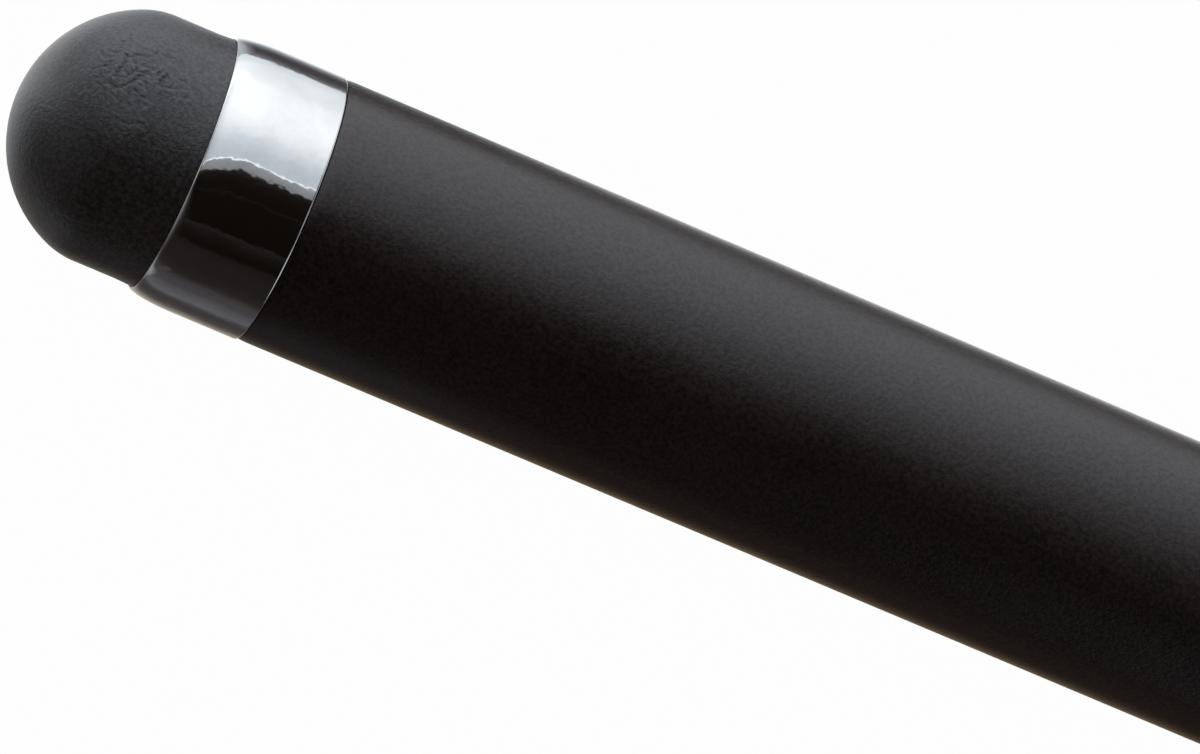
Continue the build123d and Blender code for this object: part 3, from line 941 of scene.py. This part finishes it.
# On the wall's side the floor has a tint close to the pen, by x, and another further out beside the barrel;
# right under the pen it has none.
NEAR_Y = ((-9, 0), (-6.8, 1))
NEAR_TINTS = (
    (-5, 1.03, 1.0, 0.95), (1, 1.12, 1.0, 0.82), (3, 1.68, 1.5, 1.23), (5, 1.68, 1.5, 1.23),
    (7.5, 1.12, 1.0, 0.82), (9, 1.12, 1.0, 0.82), (13, 1.4, 1.06, 0.64),
)
FAR_TINT = (0.8, 0.62, 0.52)
UNDER_PEN_Y = ((-4.7, 1), (-4.3, 0))

# Floor, key light and the fill from all round.
FLOOR_HALF = 6000.0
FLOOR_PAPER = 0.45
FLOOR_WHITE = 0.985
KEY_SIZE = (0.9, 0.14)
KEY_POWER = 3.0
KEY_COLOUR = (0.98, 1.0, 1.03)
KEY_TURN = -79.0
KEY_PLACE = (0.02, 0, 0.55)
FILL_COLOUR = (1.3, 0.94, 0.77, 1)
FILL_STRENGTH = 0.138

# Camera: degrees, millimetres, and the lens and sensor in millimetres.
CAMERA_TILT = 9.311
CAMERA_ROLL = 22.891
CAMERA_TARGET = (19.706, -1.051, 0.0)
CAMERA_DISTANCE = 419.785
CAMERA_LENS = 415.85
CAMERA_SENSOR = 36.0
CAMERA_NEAR = 10.0


def ramp(knots, places):
    """Level at each place, straight between the knots and flat beyond them."""
    place, level = np.array(knots, float).T
    return np.interp(places, place, level)


def places_of(*tables):
    """The places of the knots in some tables."""
    return [knot[0] for knots in tables for knot in knots]


def stage_sheet(name, grid, finish):
    """A sheet of the studio from a grid of points in millimetres."""
    rows, columns = grid.shape[:2]
    number = np.arange(rows * columns).reshape(rows, columns)
    quads = np.stack([number[:-1, :-1], number[:-1, 1:], number[1:, 1:], number[1:, :-1]], axis=2)
    mesh = bpy.data.meshes.new(name)
    mesh.from_pydata((grid.reshape(-1, 3) * MM).tolist(), [], quads.reshape(-1, 4).tolist())
    mesh.materials.append(finish)
    sheet = bpy.data.objects.new(name, mesh)
    bpy.context.scene.collection.objects.link(sheet)
    return sheet


def glow_finish():
    """A card that glows by its own glow attribute."""
    material, n = finish_nodes("reflection_card")
    glow = n.add("Attribute", {"attribute_name": "glow"}, {}, "Color")
    n.surface(n.add("Emission", {}, {"Color": glow}))
    return material


def reflection_card(name, grid, levels, finish, tint=1.0):
    """A sheet that only glossy rays see, with a level for each of its points and a tint over them."""
    sheet = stage_sheet(name, grid, finish)
    sheet.visible_camera = False
    sheet.visible_diffuse = False
    sheet.visible_transmission = False
    sheet.visible_volume_scatter = False
    sheet.visible_shadow = False
    place, red, blue = np.array(TINTS).T
    hue = [np.interp(levels, place, red), np.ones_like(levels), np.interp(levels, place, blue)]
    colours = np.ones((*grid.shape[:2], 4), np.float32)
    colours[:, :, :3] = levels[:, :, None] * np.stack(hue, axis=2) * tint
    glow = sheet.data.color_attributes.new("glow", "FLOAT_COLOR", "POINT")
    glow.data.foreach_set("color", colours.ravel())


def seen_directly(n):
    """1 for rays from the camera, from a mirror or through glass, 0 for the rest."""
    paths = [n.add("LightPath", output=f"Is {kind} Ray") for kind in ("Camera", "Glossy", "Transmission")]
    return paths[0] + paths[1] + paths[2]


def studio_sky(finish):
    """The arch about the pen, (x, -R sin a, R cos a); its canopy's edge slants by an exponential of x."""
    knots = places_of(SKY)
    angle = np.unique(np.r_[knots, np.linspace(knots[0], knots[-1], SKY_COLUMNS)])[None]
    x = np.array(SKY_ROWS_X, float)[:, None]
    degrees, start, reach = SLANT
    shift = degrees * (1 - np.exp(-np.clip(start - x, 0, None) / reach))
    turned = angle + shift * ramp(SLANT_SIDE, angle)
    front = ramp(FRONT, x) * np.maximum(ramp(FRONT_SIDE, turned), ramp(FRONT_OPEN, x))
    beside = 1 + (ramp(BARREL_SKY, angle) - 1) * ramp(BARREL_SKY_X, x)
    near = np.maximum(ramp(SKY, angle) * ramp(SKY_ALONG, x) * beside, front)
    tent = ramp(TENT_X, x)
    turn = np.radians(turned)
    grid = np.broadcast_arrays(x, -CARD_RADIUS * np.sin(turn), CARD_RADIUS * np.cos(turn))
    levels = near * (1 - tent) + ramp(TENT, turned) * tent
    reflection_card("studio_sky", np.stack(grid, axis=2), levels, finish)


def studio_strips(finish):
    """Two strips just over the floor beside the pen that glow to paint the floor's light and the pen's
    shadow into reflections, lighter towards the dome's front and in the tent.
    """
    x = np.array(FLOOR_ROWS_X, float)[:, None]
    tent = ramp(TENT_FLOOR_X, x)
    front = ramp(FRONT_FLOOR, x)

    def strip(name, y, level, tint=1.0):
        grid = np.stack(np.broadcast_arrays(x, y, FLOOR_Z + FLOOR_GAP), axis=2)
        levels = level * (1 - tent) + ramp(TENT_FLOOR, np.abs(y)) * tent
        reflection_card(name, grid, levels, finish, tint)

    y = np.unique(places_of(LIT_FLOOR, LIT_BARREL, TENT_FLOOR))[None]
    beside = 1 + ramp(LIT_BARREL, y) * ramp(BARREL_FLOOR_X, x - BARREL_LEAN * y)
    lit = ramp(LIT_FLOOR, y) * ramp(LIT_GAIN, x) * beside
    strip("lit_floor", y, np.maximum(lit, np.maximum(front, ramp(LIT_CORNER, x))))

    y = np.unique(np.r_[places_of(DIM_FLOOR), DIM_COLUMNS_Y, np.negative(places_of(TENT_FLOOR))])[None]
    dim = np.maximum(ramp(DIM_FLOOR, y), front * ramp(FRONT_REACH, y))
    near = ramp(NEAR_Y, y)[:, :, None]
    place, *shares = np.array(NEAR_TINTS).T
    close = np.stack([np.interp(x, place, share) for share in shares], axis=2) - 1
    far = ramp(BARREL_FLOOR_X, x + BARREL_LEAN * y)[:, :, None] * (np.array(FAR_TINT) - 1)
    shown = ((1 - tent) * ramp(UNDER_PEN_Y, y))[:, :, None]
    strip("dim_floor", y, dim, 1 + (near * close + (1 - near) * far) * shown)


def build_studio():
    """Reflection cards, floor, key light and world."""
    finish = glow_finish()
    studio_sky(finish)
    studio_strips(finish)

    side = np.array([-FLOOR_HALF, FLOOR_HALF])
    floor = np.stack([*np.meshgrid(side, side), np.full((2, 2), FLOOR_Z - FLOOR_GAP)], axis=2)
    material, n = finish_nodes("studio_floor")
    paper = n.add("BsdfDiffuse", {}, {"Color": grey(FLOOR_PAPER)})
    white = n.add("Emission", {}, {"Color": grey(1.0), "Strength": 1.0})
    n.surface(n.add("MixShader", {}, {0: seen_directly(n) * FLOOR_WHITE, 1: paper, 2: white}))
    stage_sheet("studio_floor", floor, material)

    lamp = bpy.data.lights.new("key_window", "AREA")
    lamp.shape = "RECTANGLE"
    lamp.size, lamp.size_y = KEY_SIZE
    lamp.energy = KEY_POWER
    lamp.color = KEY_COLOUR
    key = bpy.data.objects.new("key_window", lamp)
    key.matrix_world = Matrix.Rotation(math.radians(KEY_TURN), 4, "X") @ Matrix.Translation(KEY_PLACE)
    key.visible_glossy = False
    bpy.context.scene.collection.objects.link(key)

    world = bpy.data.worlds.new("studio_white")
    bpy.context.scene.world = world
    n = Nodes(world)
    fill = n.add("Background", {}, {"Color": FILL_COLOUR, "Strength": FILL_STRENGTH})
    white = n.add("Background", {}, {"Color": grey(1.0), "Strength": 1.0})
    n.add("OutputWorld", {}, {"Surface": n.add("MixShader", {}, {0: seen_directly(n), 1: fill, 2: white})})


def place_camera():
    """Camera over the pen, tilted towards the dome and rolled so that the barrel runs down to the right."""
    tilt, roll = math.radians(CAMERA_TILT), math.radians(CAMERA_ROLL)
    back = np.array([-math.sin(tilt), 0, math.cos(tilt)])
    level = np.array([math.cos(tilt), 0, math.sin(tilt)])
    upright = np.array([0.0, 1.0, 0.0])
    right = math.cos(roll) * level + math.sin(roll) * upright
    above = math.cos(roll) * upright - math.sin(roll) * level
    eye = (np.array(CAMERA_TARGET) + CAMERA_DISTANCE * back) * MM
    data = bpy.data.cameras.new("photo_camera")
    data.lens = CAMERA_LENS
    data.sensor_width = CAMERA_SENSOR
    data.clip_start = CAMERA_NEAR * MM
    camera = bpy.data.objects.new("photo_camera", data)
    pose = np.eye(4)
    pose[:3] = np.stack([right, above, back, eye], axis=1)
    camera.matrix_world = Matrix(pose.tolist())
    bpy.context.scene.collection.objects.link(camera)
    bpy.context.scene.camera = camera


# Build

rubber = rubber_finish()
soft_touch = soft_touch_finish()
chrome = chrome_finish()
brass = brass_finish("turned_brass", (0.62, 0.43, 0.17, 1), (0.82, 0.62, 0.30, 1))
dark_brass = brass_finish("blackened_brass", (0.02, 0.018, 0.015, 1), (0.05, 0.042, 0.03, 1))
plastic = plastic_finish()
refill = refill_finish()
steel = steel_finish()

touch_dome(rubber)
turned_piece("tip_ring_skin", tip_ring_outline(), chrome, "barrel", "tip_ring")
turned_piece("barrel_skin", barrel_outline(), soft_touch, "barrel", "barrel_tube")
turned_piece("centre_ring_skin", centre_ring_outline(), chrome, "barrel", "centre_ring")
turned_piece("section_skin", section_outline(), plastic, "barrel", "pen_section")
turned_piece("nose_skin", nose_outline(), chrome, "barrel", "nose_cone")
turned_piece("point_skin", point_outline(), brass, "barrel", "refill_point")
turned_piece("ball_skin", ball_outline(), steel, "ball", "writing_ball", closed=False)
turned_piece("cap_skin", cap_outline(), soft_touch, "cap", "cap_tube")
clip_collar(chrome)
pocket_clip(chrome)
turned_piece("finial_skin", finial_outline(), chrome, "cap", "finial", closed=False)

HIDDEN_FINISHES = {
    "tip_core": dark_brass, "tip_bush": brass, "barrel_bush": brass, "cap_bush": brass,
    "refill_holder": plastic, "cap_liner": plastic, "refill_tube": refill,
}
for node, finish in HIDDEN_FINISHES.items():
    materials = frame["nodes"][node].data.materials
    materials.clear()
    materials.append(finish)

build_studio()
place_camera()
bpy.context.scene.view_settings.view_transform = "Standard"
